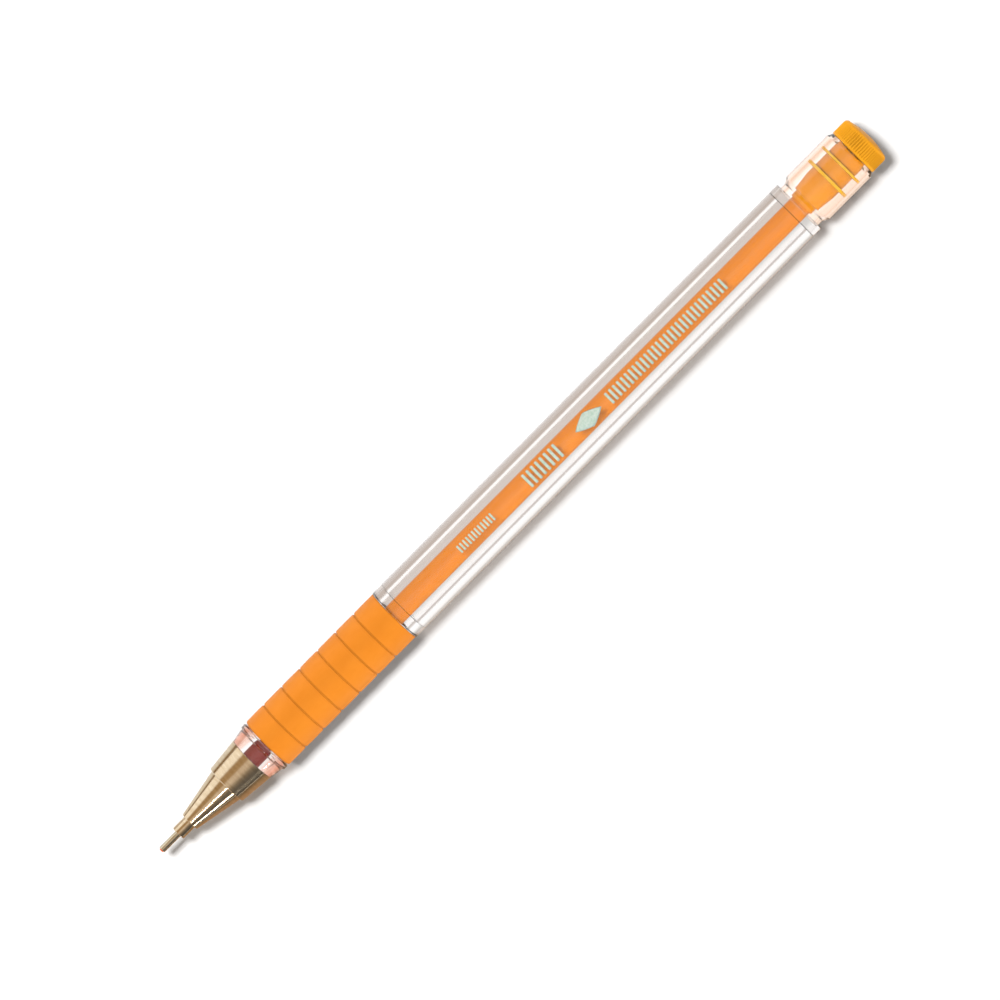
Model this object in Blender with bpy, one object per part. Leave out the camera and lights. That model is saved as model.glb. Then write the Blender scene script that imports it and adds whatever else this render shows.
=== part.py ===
"""A click mechanical pencil with a clear barrel, for Blender 4.5: metres, +Z up.

The pencil lies along X with its tip towards -X. Stations are distances along it from the front
end of the lead sleeve, and radii are to the corners of each turned piece's flats. Every turned
piece has a flat that faces straight down, and the barrel's is what the pencil rests on.
"""

import math

import bmesh
import bpy

mm = 0.001

# Driving dimensions: the outside
bushStation = 3.43 * mm
coneStation = 5.85 * mm
stepStation = 13.75 * mm
coneLengthBehindStep = 5.25 * mm
clearNoseLength = 2.23 * mm
flangeWidth = 0.87 * mm
flangeInset = 0.05 * mm
noseInset = 0.25 * mm
flangeToGrip = 0.17 * mm
gripLength = 26.78 * mm
barrelLength = 85.16 * mm
barrelDiameter = 9.0 * mm
barrelCorner = 0.15 * mm
sleeveLength = 11.10 * mm
neckShown = 0.88 * mm
neckStep = 0.53 * mm
sleeveChamfer = 0.92 * mm
sleeveInset = 0.04 * mm
sleeveBevel = 0.75 * mm
sleeveRearEdge = 0.19 * mm
crownLength = 3.50 * mm
crownInset = 0.32 * mm
crownDome = 0.37 * mm
crownCorner = 0.75 * mm
ribCount = 60
ribDepth = 0.10 * mm
grooveCount = 6
grooveFromFront = 3.72 * mm
grooveFromRear = 4.13 * mm
grooveDepth = 0.17 * mm
grooveWidth = 0.26 * mm
gripWall = 0.86 * mm
gripInset = 0.015 * mm
gripEdge = 0.40 * mm
edgeBevel = 0.12 * mm

# Driving dimensions: the inside
leadDiameter = 0.70 * mm
leadLength = 60.0 * mm
leadInset = 0.05 * mm
spareGap = 0.30 * mm
spareRoom = 0.08 * mm
leadSleeveWall = 0.16 * mm
bushWall = 0.565 * mm
bushShoulder = 0.335 * mm
bushHidden = 3.68 * mm
pipeInBush = 2.10 * mm
pipeRound = 0.07 * mm
shoulderLength = 1.30 * mm
retainerWall = 0.49 * mm
retainerLength = 1.60 * mm
chuckWall = 0.47 * mm
chuckHeadWall = 0.90 * mm
chuckLength = 9.20 * mm
chuckHeadLength = 2.45 * mm
chuckNeckLength = 0.20 * mm
chuckNeckStep = 0.15 * mm
slotWidth = 0.22 * mm
slotMargin = 0.20 * mm
ringWall = 0.52 * mm
ringLength = 1.70 * mm
springWire = 0.30 * mm
springTurns = 5.5
springLength = 3.66 * mm
springSeat = 0.38 * mm
springShare = 0.7
clutchWall = 0.55 * mm
clutchFlange = 0.40 * mm
clutchFlangeWidth = 0.58 * mm
clutchInset = 0.15 * mm
clutchHole = 0.27 * mm
spigotWall = 0.30 * mm
threadDepth = 0.25 * mm
threadPitch = 0.80 * mm
threadFade = 0.35 * mm
coneWall = 0.335 * mm
coneStep = 0.39 * mm
coneFrontWall = 0.39 * mm
coneStepDepth = 0.43 * mm
coneFlare = 0.495 * mm
noseBoreDiameter = 5.30 * mm
barrelBoreDiameter = 5.90 * mm
barrelFlare = 0.20 * mm
boreStepBehindGrip = 1.84 * mm
connectorLength = 3.45 * mm
connectorNeck = 3.0 * mm
connectorChamfer = 0.35 * mm
connectorMargin = 0.175 * mm
connectorFit = 0.225 * mm
funnelLength = 0.80 * mm
funnelLip = 0.20 * mm
tubeWall = 0.60 * mm
socketLength = 10.10 * mm
socketNeckLength = 1.20 * mm
socketNeckWall = 0.26 * mm
socketWall = 0.69 * mm
socketTaper = 0.35 * mm
socketTaperLength = 2.80 * mm
socketFront = 0.51 * mm
socketFloor = 1.00 * mm
socketRings = ((5.48 * mm, 0.50 * mm), (8.28 * mm, 0.40 * mm))
tubeInSocket = 3.10 * mm
tubeRing = 0.20 * mm
eraserMargin = 0.22 * mm
neckInBarrel = 0.35 * mm
sleeveWall = 0.60 * mm
eraserLength = 3.95 * mm
crownStem = 2.70 * mm

# How far things move
buttonTravel = 1.20 * mm
ringTravel = 0.60 * mm

# Fits, all radial or end to end
leadFit = 0.03 * mm
leadRoom = 0.10 * mm
tightFit = 0.02 * mm
looseFit = 0.12 * mm
threadFit = 0.09 * mm
slideFit = 0.07 * mm
springFit = 0.20 * mm
seatGap = 0.03 * mm
chuckClear = 0.25 * mm
neckClear = 0.10 * mm
tubeClear = 0.80 * mm

# Flats round a turned piece: big, middling and thin ones
bigSides = 24
midSides = 16
thinSides = 12
threadSteps = 5

# Stations that follow
coneEnd = stepStation + coneLengthBehindStep
flangeStation = coneEnd + clearNoseLength
gripStation = flangeStation + flangeWidth + flangeToGrip
gripEnd = gripStation + gripLength
barrelShoulder = gripEnd + seatGap
barrelEnd = barrelShoulder + barrelLength
sleeveChamferStation = barrelEnd + neckShown
sleeveEnd = sleeveChamferStation + sleeveLength - neckShown
crownStation = sleeveEnd + 2 * seatGap
overallLength = crownStation + crownLength
axisHeight = barrelDiameter / 2 * math.cos(math.pi / bigSides)

# Radii that follow, from the lead outwards
leadRadius = leadDiameter / 2
leadWay = leadRadius + leadFit
leadSleeveRadius = leadWay + leadSleeveWall
bushBore = leadSleeveRadius + tightFit / 2
bushRadius = bushBore + bushWall
shoulderRadius = bushRadius + bushShoulder
retainerRadius = leadWay + retainerWall
stemRadius = leadWay + chuckWall
chuckRadius = leadWay + chuckHeadWall
ringRadius = chuckRadius + ringWall
springInner = stemRadius + springFit
springRadius = springInner + springWire
connectorRadius = springRadius + connectorMargin
clutchBore = connectorRadius + connectorFit
clutchRadius = clutchBore + clutchWall
spigotBore = clutchRadius + looseFit
spigotRoot = spigotBore + spigotWall
coneRoot = spigotRoot + threadFit
coneRearRadius = coneRoot + threadDepth + coneWall
coneFrontBore = bushRadius + tightFit / 2
coneChamber = shoulderRadius + tightFit
ringChamber = ringRadius + looseFit
tubeBore = 3 * leadRadius + leadRoom
tubeRadius = tubeBore + tubeWall

# Radii that follow, from the barrel inwards
barrelRadius = barrelDiameter / 2
flangeRadius = barrelRadius - flangeInset
gripRadius = barrelRadius - gripInset
coreRadius = gripRadius - gripWall - tightFit
noseBore = noseBoreDiameter / 2
barrelBore = barrelBoreDiameter / 2
sleeveRadius = barrelRadius - sleeveInset
neckRadius = sleeveRadius - neckStep
mouthBore = neckRadius + slideFit
sleeveBore = sleeveRadius - sleeveWall
crownRadius = sleeveRadius - crownInset

# Stations inside the nose
shoulderStation = coneStation + bushHidden - shoulderLength
bushEnd = shoulderStation + shoulderLength
chuckStation = bushEnd + buttonTravel + chuckClear
chuckHeadEnd = chuckStation + chuckHeadLength
ringStation = chuckHeadEnd - ringLength
clutchStation = ringStation + ringLength + seatGap
ringStop = ringStation - ringTravel - tightFit
coneShoulder = stepStation + coneStepDepth
clutchFlangeStation = coneShoulder + tightFit
spigotStation = clutchFlangeStation + clutchFlangeWidth + 2 * seatGap
springStation = clutchFlangeStation + springSeat
connectorStation = springStation + springLength + seatGap
connectorEnd = connectorStation + connectorLength
neckEnd = connectorEnd + connectorNeck
clutchEnd = coneEnd - clutchInset
tubeStation = connectorEnd + tubeClear
socketStation = sleeveChamferStation - socketFront
socketEnd = socketStation + socketLength
tubeEnd = socketStation + tubeInSocket
eraserStation = tubeEnd + socketFloor
eraserRadius = tubeRadius + eraserMargin
socketRadius = eraserRadius + 2 * tightFit + socketWall


def clearScene():
    for item in list(bpy.data.objects):
        bpy.data.objects.remove(item, do_unlink=True)


def makeMaterial(name, colour, roughness, metallic=0.0, alpha=1.0):
    material = bpy.data.materials.new(name)
    material.use_nodes = True
    shader = material.node_tree.nodes["Principled BSDF"]
    shader.inputs["Base Color"].default_value = (*colour, 1.0)
    shader.inputs["Roughness"].default_value = roughness
    shader.inputs["Metallic"].default_value = metallic
    shader.inputs["Alpha"].default_value = alpha
    return material


def makeAxis(name, parent=None):
    """An empty on the pencil's axis, which a body that moves hangs from."""
    axis = bpy.data.objects.new(name, None)
    axis.empty_display_size = 5 * mm
    if parent:
        axis.parent = parent
    else:
        axis.location = (-overallLength / 2, 0, axisHeight)
    bpy.context.scene.collection.objects.link(axis)
    return axis


def addObject(name, mesh, material, parent, station):
    """Links a mesh as one piece, its origin on the pencil's axis at a station."""
    mesh.materials.append(material)
    mesh.shade_smooth()
    mesh.set_sharp_from_angle(angle=math.radians(32))
    piece = bpy.data.objects.new(name, mesh)
    piece.parent = parent
    piece.location = (station, 0, 0)
    bpy.context.scene.collection.objects.link(piece)
    return piece


def turned(name, outline, material, parent, sides=bigSides, wave=None):
    """Spins an outline of (station, radius) points round the axis.

    An outline that starts and ends on the axis gives a solid piece, and any other is closed into
    a loop and gives a tube. The wave, where there is one, takes a point's station, angle and
    radius and gives its new radius.
    """
    start = outline[0][0]
    half = math.pi / sides
    shape = bmesh.new()
    points = [
        shape.verts.new((station - start, radius * math.sin(half), -radius * math.cos(half)))
        for station, radius in outline
    ]
    pairs = list(zip(points, points[1:]))
    if outline[0][1] > 0:
        pairs.append((points[-1], points[0]))
    edges = [shape.edges.new(pair) for pair in pairs]
    bmesh.ops.spin(
        shape,
        geom=points + edges,
        cent=(0, 0, 0),
        axis=(1, 0, 0),
        angle=2 * math.pi,
        steps=sides,
        use_merge=True,
    )
    bmesh.ops.remove_doubles(shape, verts=shape.verts, dist=1e-7)
    if wave:
        for point in shape.verts:
            radius = math.hypot(point.co.y, point.co.z)
            angle = math.atan2(point.co.z, point.co.y)
            scale = wave(point.co.x + start, angle, radius) / radius if radius > 0 else 1
            point.co.y *= scale
            point.co.z *= scale
    bmesh.ops.recalc_face_normals(shape, faces=shape.faces)
    mesh = bpy.data.meshes.new(name)
    shape.to_mesh(mesh)
    shape.free()
    return addObject(name, mesh, material, parent, start)


def threadShare(station, angle):
    """0 in the thread's root and 1 on its crest, for a right-hand helix round +X."""
    return 0.5 + 0.5 * math.cos(2 * math.pi * station / threadPitch - angle)


def threadStations(first, last):
    """Even stations, threadSteps to a turn of the thread."""
    count = max(2, round((last - first) / threadPitch * threadSteps))
    return [first + (last - first) * index / count for index in range(count + 1)]


def fadeIn(station, first, last):
    """1 along the thread, and 0 at both of its ends."""
    return max(0.0, min(1.0, (station - first) / threadFade, (last - station) / threadFade))


def arc(centre, radius, start, end, steps):
    """Points on a circle in (station, radius), by angles in degrees from +station."""
    angles = [math.radians(start + (end - start) * step / steps) for step in range(steps + 1)]
    return [
        (centre[0] + radius * math.cos(angle), centre[1] + radius * math.sin(angle))
        for angle in angles
    ]


def makeBarrel(material, parent):
    """The clear barrel: threaded spigot, clear nose, flange, core under the grip, and tube."""
    threadStart = spigotStation
    threadEnd = coneEnd - threadFade
    noseStation = coneEnd + seatGap
    gripSeat = gripStation - flangeToGrip
    mouthEnd = barrelEnd - neckInBarrel - buttonTravel - neckClear

    def cutThread(station, angle, radius):
        if station > threadEnd + tightFit or radius < spigotRoot - tightFit / 4:
            return radius
        share = threadShare(station, angle) * fadeIn(station, threadStart, threadEnd)
        return spigotRoot + threadDepth * share

    outside = [(station, spigotRoot) for station in threadStations(threadStart, threadEnd)]
    outside += [
        (noseStation, spigotRoot),
        (noseStation, coneRearRadius + coneFlare),
        (flangeStation, barrelRadius - noseInset),
        (flangeStation, flangeRadius),
        (gripSeat, flangeRadius),
        (gripSeat, coreRadius),
        (barrelShoulder, coreRadius),
        (barrelShoulder, barrelRadius - barrelCorner),
        (barrelShoulder + barrelCorner, barrelRadius),
        (barrelEnd - barrelCorner, barrelRadius),
        (barrelEnd, barrelRadius - barrelCorner),
    ]
    inside = [
        (barrelEnd, mouthBore + barrelFlare),
        (barrelEnd - 2 * barrelFlare, mouthBore),
        (mouthEnd, mouthBore),
        (mouthEnd, barrelBore),
        (gripEnd + boreStepBehindGrip, barrelBore),
        (gripEnd + boreStepBehindGrip, noseBore),
        (clutchEnd + seatGap, noseBore),
        (clutchEnd + seatGap, spigotBore),
        (spigotStation, spigotBore),
    ]
    turned("barrel", outside + inside, material, parent, wave=cutThread)


def makeGrip(material, parent):
    """The rubber grip: a sleeve with V grooves round it and a rounded front edge."""
    firstGroove = gripStation + grooveFromFront
    lastGroove = gripEnd - grooveFromRear
    pitch = (lastGroove - firstGroove) / (grooveCount - 1)
    outline = [(gripStation, coreRadius + tightFit)]
    outline += arc((gripStation + gripEdge, gripRadius - gripEdge), gripEdge, 180, 90, 3)
    for index in range(grooveCount):
        groove = firstGroove + pitch * index
        outline += [
            (groove - grooveWidth / 2, gripRadius),
            (groove, gripRadius - grooveDepth),
            (groove + grooveWidth / 2, gripRadius),
        ]
    outline += [
        (gripEnd - edgeBevel, gripRadius),
        (gripEnd, gripRadius - edgeBevel),
        (gripEnd, coreRadius + tightFit),
    ]
    turned("grip", outline, material, parent)


def makeNoseCone(material, parent):
    """The turned metal cone: stepped outside, stepped and threaded inside."""
    coneFront = coneFrontBore + coneFrontWall

    def cutThread(station, angle, radius):
        if station < coneShoulder - tightFit or abs(radius - coneRoot) > tightFit / 4:
            return radius
        share = threadShare(station, angle)
        share = max(share, 1 - fadeIn(station, coneShoulder, coneEnd))
        return coneRoot + threadDepth * share

    outline = [
        (coneStation, coneFrontBore),
        (coneStation, coneFront - edgeBevel),
        (coneStation + edgeBevel, coneFront),
        (stepStation, coneRearRadius - coneStep),
        (stepStation, coneRearRadius - edgeBevel),
        (stepStation + edgeBevel, coneRearRadius),
        (coneEnd, coneRearRadius + coneFlare),
    ]
    outline += [(station, coneRoot) for station in reversed(threadStations(coneShoulder, coneEnd))]
    outline += [
        (coneShoulder, ringChamber),
        (ringStop, ringChamber),
        (ringStop, coneChamber),
        (shoulderStation - tightFit, coneChamber),
        (shoulderStation - tightFit, coneFrontBore),
    ]
    turned("nose_cone", outline, material, parent, wave=cutThread)


def makeTipBush(material, parent):
    """The small cylinder between cone and lead sleeve, held by a shoulder inside the cone."""
    pipeEnd = bushStation + pipeInBush + seatGap
    pocket = bushEnd - retainerLength - 2 * seatGap
    outline = [
        (bushStation, bushBore),
        (bushStation, bushRadius - edgeBevel),
        (bushStation + edgeBevel, bushRadius),
        (shoulderStation, bushRadius),
        (shoulderStation, shoulderRadius),
        (bushEnd, shoulderRadius),
        (bushEnd, retainerRadius + seatGap),
        (pocket, retainerRadius + seatGap),
        (pocket, leadWay + tightFit),
        (pipeEnd, leadWay + tightFit),
        (pipeEnd, bushBore),
    ]
    turned("tip_bush", outline, material, parent)


def makeLeadSleeve(material, parent):
    """The thin pipe that the lead comes out of, with a rounded front end."""
    outline = [
        (0, leadWay),
        (0, leadSleeveRadius - pipeRound),
        (pipeRound, leadSleeveRadius),
        (bushStation + pipeInBush, leadSleeveRadius),
        (bushStation + pipeInBush, leadWay),
    ]
    turned("lead_sleeve", outline, material, parent, sides=thinSides)


def makeRetainer(material, parent):
    """The rubber ring behind the lead sleeve, which keeps a loose lead from falling out."""
    end = bushEnd - seatGap
    outline = [
        (end - retainerLength, leadWay),
        (end - retainerLength, retainerRadius),
        (end, retainerRadius),
        (end, leadWay),
    ]
    turned("lead_retainer", outline, material, parent, sides=thinSides)


def makeChuck(material, parent):
    """The brass chuck: a tapered head split into three jaws, on a long springy stem."""
    taperStart = ringStation
    chuckEnd = chuckStation + chuckLength
    outline = [
        (chuckStation, leadWay),
        (chuckStation, chuckRadius - edgeBevel),
        (chuckStation + edgeBevel, chuckRadius),
        (taperStart, chuckRadius),
        (chuckHeadEnd - chuckNeckLength, stemRadius + chuckNeckStep),
        (chuckHeadEnd, stemRadius),
        (chuckEnd, stemRadius),
        (chuckEnd, leadWay),
    ]
    chuck = turned("chuck", outline, material, parent, sides=midSides)
    slotLength = springStation + springLength * springShare - chuckStation
    reach = chuckRadius + slotMargin
    for index in range(3):
        cutterMesh = bpy.data.meshes.new(f"jaw_slot_{index + 1}")
        shape = bmesh.new()
        bmesh.ops.create_cube(shape, size=1)
        bmesh.ops.scale(shape, vec=(slotLength + slotMargin, slotWidth, reach), verts=shape.verts)
        bmesh.ops.translate(shape, vec=((slotLength - slotMargin) / 2, 0, reach / 2), verts=shape.verts)
        shape.to_mesh(cutterMesh)
        shape.free()
        cutter = bpy.data.objects.new(cutterMesh.name, cutterMesh)
        cutter.parent = parent
        cutter.location = (chuckStation, 0, 0)
        cutter.rotation_euler = (math.radians(120 * index), 0, 0)
        cutter.hide_render = True
        cutter.display_type = "WIRE"
        bpy.context.scene.collection.objects.link(cutter)
        cut = chuck.modifiers.new(cutterMesh.name, "BOOLEAN")
        cut.operation = "DIFFERENCE"
        cut.solver = "EXACT"
        cut.object = cutter


def makeClutchRing(material, parent):
    """The ring that closes the chuck's jaws: its bore follows the taper of their head."""
    ringEnd = ringStation + ringLength
    outline = [
        (ringStation, chuckRadius + leadFit),
        (ringStation, ringRadius - edgeBevel),
        (ringStation + edgeBevel, ringRadius),
        (ringEnd, ringRadius),
        (ringEnd, stemRadius + chuckNeckStep + leadFit),
        (chuckHeadEnd - chuckNeckLength, stemRadius + chuckNeckStep + leadFit),
    ]
    turned("clutch_ring", outline, material, parent, sides=midSides)


def makeClutchSleeve(material, parent):
    """The brass housing that the spring pushes on, clamped between spigot and cone."""
    flangeEnd = clutchFlangeStation + clutchFlangeWidth
    outline = [
        (clutchStation, stemRadius + clutchHole),
        (clutchStation, ringChamber - 2 * tightFit),
        (clutchFlangeStation, ringChamber - 2 * tightFit),
        (clutchFlangeStation, clutchRadius + clutchFlange),
        (flangeEnd, clutchRadius + clutchFlange),
        (flangeEnd, clutchRadius),
        (clutchEnd, clutchRadius),
        (clutchEnd, clutchBore),
        (springStation - seatGap, clutchBore),
        (springStation - seatGap, stemRadius + clutchHole),
    ]
    turned("clutch_sleeve", outline, material, parent, sides=midSides)


def makeSpring(material, parent):
    """The coil spring round the chuck's stem, as a wire carried along a helix."""
    wire = springWire / 2
    meanRadius = springInner + wire
    perTurn = 12
    count = round(springTurns * perTurn)
    curve = bpy.data.curves.new("chuck_spring", "CURVE")
    curve.dimensions = "3D"
    curve.bevel_depth = wire
    curve.bevel_resolution = 1
    curve.use_fill_caps = True
    spline = curve.splines.new("POLY")
    spline.points.add(count)
    for index, point in enumerate(spline.points):
        share = index / count
        turn = 2 * math.pi * index / perTurn
        along = wire + (springLength - springWire) * share
        point.co = (along, meanRadius * math.cos(turn), meanRadius * math.sin(turn), 1)
    spring = bpy.data.objects.new("chuck_spring", curve)
    curve.materials.append(material)
    spring.parent = parent
    spring.location = (springStation, 0, 0)
    bpy.context.scene.collection.objects.link(spring)


def makeConnector(material, parent):
    """The short coupling between the chuck's stem and the lead tube, with a lead funnel."""
    stemEnd = chuckStation + chuckLength + seatGap
    neckRadiusHere = tubeBore - tightFit
    outline = [
        (connectorStation, stemRadius + tightFit / 2),
        (connectorStation, connectorRadius),
        (connectorEnd - connectorChamfer, connectorRadius),
        (connectorEnd, connectorRadius - connectorChamfer),
        (connectorEnd, neckRadiusHere),
        (neckEnd, neckRadiusHere),
        (neckEnd, neckRadiusHere - funnelLip),
        (neckEnd - funnelLength, leadWay + tightFit),
        (stemEnd, leadWay + tightFit),
        (stemEnd, stemRadius + tightFit / 2),
    ]
    turned("connector", outline, material, parent, sides=midSides)


def makeLeadTube(material, parent):
    """The long tube that holds the spare leads and carries the push to the chuck."""
    outline = [
        (tubeStation, tubeBore),
        (tubeStation, tubeRadius),
        (tubeEnd, tubeRadius),
        (tubeEnd, tubeBore),
    ]
    turned("lead_tube", outline, material, parent)


def makeSocket(material, parent):
    """The plug on the lead tube's rear end: two thin rings centre the sleeve, and it holds the eraser."""
    ringOuter = sleeveBore - tightFit / 2
    neckRear = socketStation + socketNeckLength
    outline = [
        (socketStation, tubeRadius + tightFit / 2),
        (socketStation, tubeRadius + socketNeckWall),
        (neckRear, tubeRadius + socketNeckWall),
        (neckRear, socketRadius - socketTaper),
        (neckRear + socketTaperLength, socketRadius),
    ]
    for offset, width in socketRings:
        middle = socketStation + offset
        outline += [
            (middle - width / 2, socketRadius),
            (middle - width / 2, ringOuter),
            (middle + width / 2, ringOuter),
            (middle + width / 2, socketRadius),
        ]
    outline += [
        (socketEnd, socketRadius),
        (socketEnd, eraserRadius + 2 * tightFit),
        (eraserStation - seatGap, eraserRadius + 2 * tightFit),
        (eraserStation - seatGap, tubeBore - tubeRing),
        (tubeEnd + seatGap, tubeBore - tubeRing),
        (tubeEnd + seatGap, tubeRadius + tightFit / 2),
    ]
    turned("tube_socket", outline, material, parent)


def makeButtonSleeve(material, parent):
    """The clear sleeve that is pressed: a neck inside the barrel's mouth and a wider body."""
    bodyStation = sleeveChamferStation + sleeveChamfer
    outline = [
        (barrelEnd - neckInBarrel, barrelBore),
        (barrelEnd - neckInBarrel, neckRadius - edgeBevel),
        (barrelEnd - neckInBarrel + edgeBevel, neckRadius),
        (sleeveChamferStation, neckRadius),
        (bodyStation, sleeveRadius),
        (sleeveEnd - sleeveBevel, sleeveRadius),
        (sleeveEnd, sleeveBore + sleeveRearEdge),
        (sleeveEnd, sleeveBore),
        (bodyStation, sleeveBore),
        (sleeveChamferStation, barrelBore),
    ]
    turned("button_sleeve", outline, material, parent)


def makeCrown(material, parent):
    """The knurled head that is pressed: fine ribs round it, a low dome, and a stem below."""
    stemRadiusHere = eraserRadius
    sideEnd = overallLength - crownDome - crownCorner

    def rib(station, angle, radius):
        if radius < crownRadius - tightFit or station < crownStation:
            return radius
        half = round((angle + math.pi / 2) / math.pi * ribCount - 0.5)
        return radius - ribDepth if half % 2 else radius

    outline = [
        (crownStation - crownStem, 0),
        (crownStation - crownStem, stemRadiusHere),
        (crownStation, stemRadiusHere),
        (crownStation, crownRadius),
        (sideEnd, crownRadius),
        (sideEnd + 0.5 * crownCorner, crownRadius - 0.13 * crownCorner),
        (sideEnd + crownCorner, crownRadius - crownCorner),
        (overallLength - 0.25 * crownDome, 0.5 * (crownRadius - crownCorner)),
        (overallLength, 0),
    ]
    turned("crown", outline, material, parent, sides=2 * ribCount, wave=rib)


def makeEraser(material, parent):
    outline = [
        (eraserStation, 0),
        (eraserStation, eraserRadius),
        (eraserStation + eraserLength, eraserRadius),
        (eraserStation + eraserLength, 0),
    ]
    turned("eraser", outline, material, parent, sides=midSides)


def makeLead(name, start, material, parent, offset=0.0, turn=0.0):
    """A plain stick of lead, on the axis or standing off it at an angle round it."""
    outline = [
        (start, 0),
        (start, leadRadius),
        (start + leadLength, leadRadius),
        (start + leadLength, 0),
    ]
    lead = turned(name, outline, material, parent, sides=thinSides)
    lead.location.y = offset * math.cos(turn)
    lead.location.z = offset * math.sin(turn)


def makePencil():
    clearPlastic = makeMaterial("clear_plastic", (0.90, 0.91, 0.92), 0.08, alpha=0.35)
    gripRubber = makeMaterial("grip_rubber", (0.87, 0.28, 0.03), 0.6)
    plated = makeMaterial("plated_metal", (0.58, 0.50, 0.40), 0.22, metallic=1.0)
    pipeMetal = makeMaterial("pipe_metal", (0.70, 0.68, 0.64), 0.25, metallic=1.0)
    brass = makeMaterial("turned_brass", (0.78, 0.60, 0.30), 0.3, metallic=1.0)
    springSteel = makeMaterial("spring_steel", (0.55, 0.55, 0.57), 0.3, metallic=1.0)
    sealRubber = makeMaterial("seal_rubber", (0.05, 0.05, 0.05), 0.7)
    darkPlastic = makeMaterial("dark_red_plastic", (0.22, 0.04, 0.03), 0.35)
    orangePlastic = makeMaterial("orange_plastic", (0.90, 0.36, 0.03), 0.35)
    eraserRubber = makeMaterial("eraser_rubber", (0.88, 0.87, 0.84), 0.8)
    orangeLead = makeMaterial("orange_lead", (0.88, 0.30, 0.04), 0.6)

    barrelAxis = makeAxis("barrel_axis")
    pushAxis = makeAxis("push_axis", barrelAxis)
    crownAxis = makeAxis("crown_axis", pushAxis)
    eraserAxis = makeAxis("eraser_axis", pushAxis)
    ringAxis = makeAxis("ring_axis", barrelAxis)
    leadAxis = makeAxis("lead_axis", barrelAxis)
    retainerAxis = makeAxis("retainer_axis", barrelAxis)
    noseAxis = makeAxis("nose_axis", retainerAxis)

    makeBarrel(clearPlastic, barrelAxis)
    makeGrip(gripRubber, barrelAxis)
    makeClutchSleeve(brass, barrelAxis)
    makeSpring(springSteel, barrelAxis)
    makeRetainer(sealRubber, retainerAxis)
    makeNoseCone(plated, noseAxis)
    makeTipBush(plated, noseAxis)
    makeLeadSleeve(pipeMetal, noseAxis)
    makeClutchRing(brass, ringAxis)
    makeChuck(brass, pushAxis)
    makeConnector(darkPlastic, pushAxis)
    makeLeadTube(orangePlastic, pushAxis)
    makeSocket(orangePlastic, pushAxis)
    makeButtonSleeve(clearPlastic, pushAxis)
    makeCrown(orangePlastic, crownAxis)
    makeEraser(eraserRubber, eraserAxis)
    makeLead("lead", leadInset, orangeLead, leadAxis)
    spareStation = neckEnd + spareGap
    spareOffset = 2 * leadRadius + spareRoom
    for index in range(3):
        turn = math.radians(90 + 120 * index)
        spareAxis = makeAxis(f"spare_axis_{index + 1}", pushAxis)
        makeLead(f"spare_lead_{index + 1}", spareStation, orangeLead, spareAxis, spareOffset, turn)


clearScene()
makePencil()
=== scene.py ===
import math

import bpy
import numpy as np
from mathutils import Matrix, Vector


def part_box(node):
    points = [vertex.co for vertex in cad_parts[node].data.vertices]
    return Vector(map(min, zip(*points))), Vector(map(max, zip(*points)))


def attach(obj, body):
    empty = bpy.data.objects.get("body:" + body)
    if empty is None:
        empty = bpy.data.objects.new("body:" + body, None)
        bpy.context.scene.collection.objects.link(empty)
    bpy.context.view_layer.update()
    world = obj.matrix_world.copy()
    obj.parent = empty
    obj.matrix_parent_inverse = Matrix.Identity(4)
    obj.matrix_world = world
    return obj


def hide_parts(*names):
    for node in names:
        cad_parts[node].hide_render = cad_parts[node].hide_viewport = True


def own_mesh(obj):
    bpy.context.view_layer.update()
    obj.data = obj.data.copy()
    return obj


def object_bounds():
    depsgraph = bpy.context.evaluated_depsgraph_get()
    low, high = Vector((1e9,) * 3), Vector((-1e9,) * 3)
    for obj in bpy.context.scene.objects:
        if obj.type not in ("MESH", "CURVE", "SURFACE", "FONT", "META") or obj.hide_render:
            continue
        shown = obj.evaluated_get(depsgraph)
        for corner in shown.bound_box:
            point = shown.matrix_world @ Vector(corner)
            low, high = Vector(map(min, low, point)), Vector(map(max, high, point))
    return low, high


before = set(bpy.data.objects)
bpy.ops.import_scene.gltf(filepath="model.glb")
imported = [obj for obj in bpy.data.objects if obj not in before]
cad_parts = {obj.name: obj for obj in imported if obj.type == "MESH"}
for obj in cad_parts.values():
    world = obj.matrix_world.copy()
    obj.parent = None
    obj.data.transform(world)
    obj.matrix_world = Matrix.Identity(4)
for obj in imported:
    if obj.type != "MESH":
        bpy.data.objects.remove(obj)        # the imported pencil: it lies along X on z = 0, tip towards -X, crown towards +X
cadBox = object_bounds()
mm = 0.001
fullTurn = 2 * math.pi
axisHeight = (cadBox[0][2] + cadBox[1][2]) / 2

gap = 0.03 * mm          # between pieces that would touch
closeGap = 0.02 * mm     # the same where a piece is pressed in
nearly = 0.01 * mm       # how near two places are when they count as one
barrelProud = 0.07 * mm  # the clear tube is a little wider than its flats, and stands proud of the grip

# the radii of edges, from cut metal to soft mouldings
hairEdge, fineEdge, keenEdge, crispEdge, easedEdge = 0.02 * mm, 0.03 * mm, 0.04 * mm, 0.05 * mm, 0.06 * mm
softEdge, dullEdge, bluntEdge, broadEdge, wideEdge, roundEdge = (
    0.08 * mm, 0.09 * mm, 0.10 * mm, 0.12 * mm, 0.15 * mm, 0.16 * mm)


def ends(node, flats=24):
    # front and rear of a turned CAD node along X, and the radius to the corners of its flats
    low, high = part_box(node)
    return low[0], high[0], (high[2] - low[2]) / 2 / math.cos(math.pi / flats)


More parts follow.
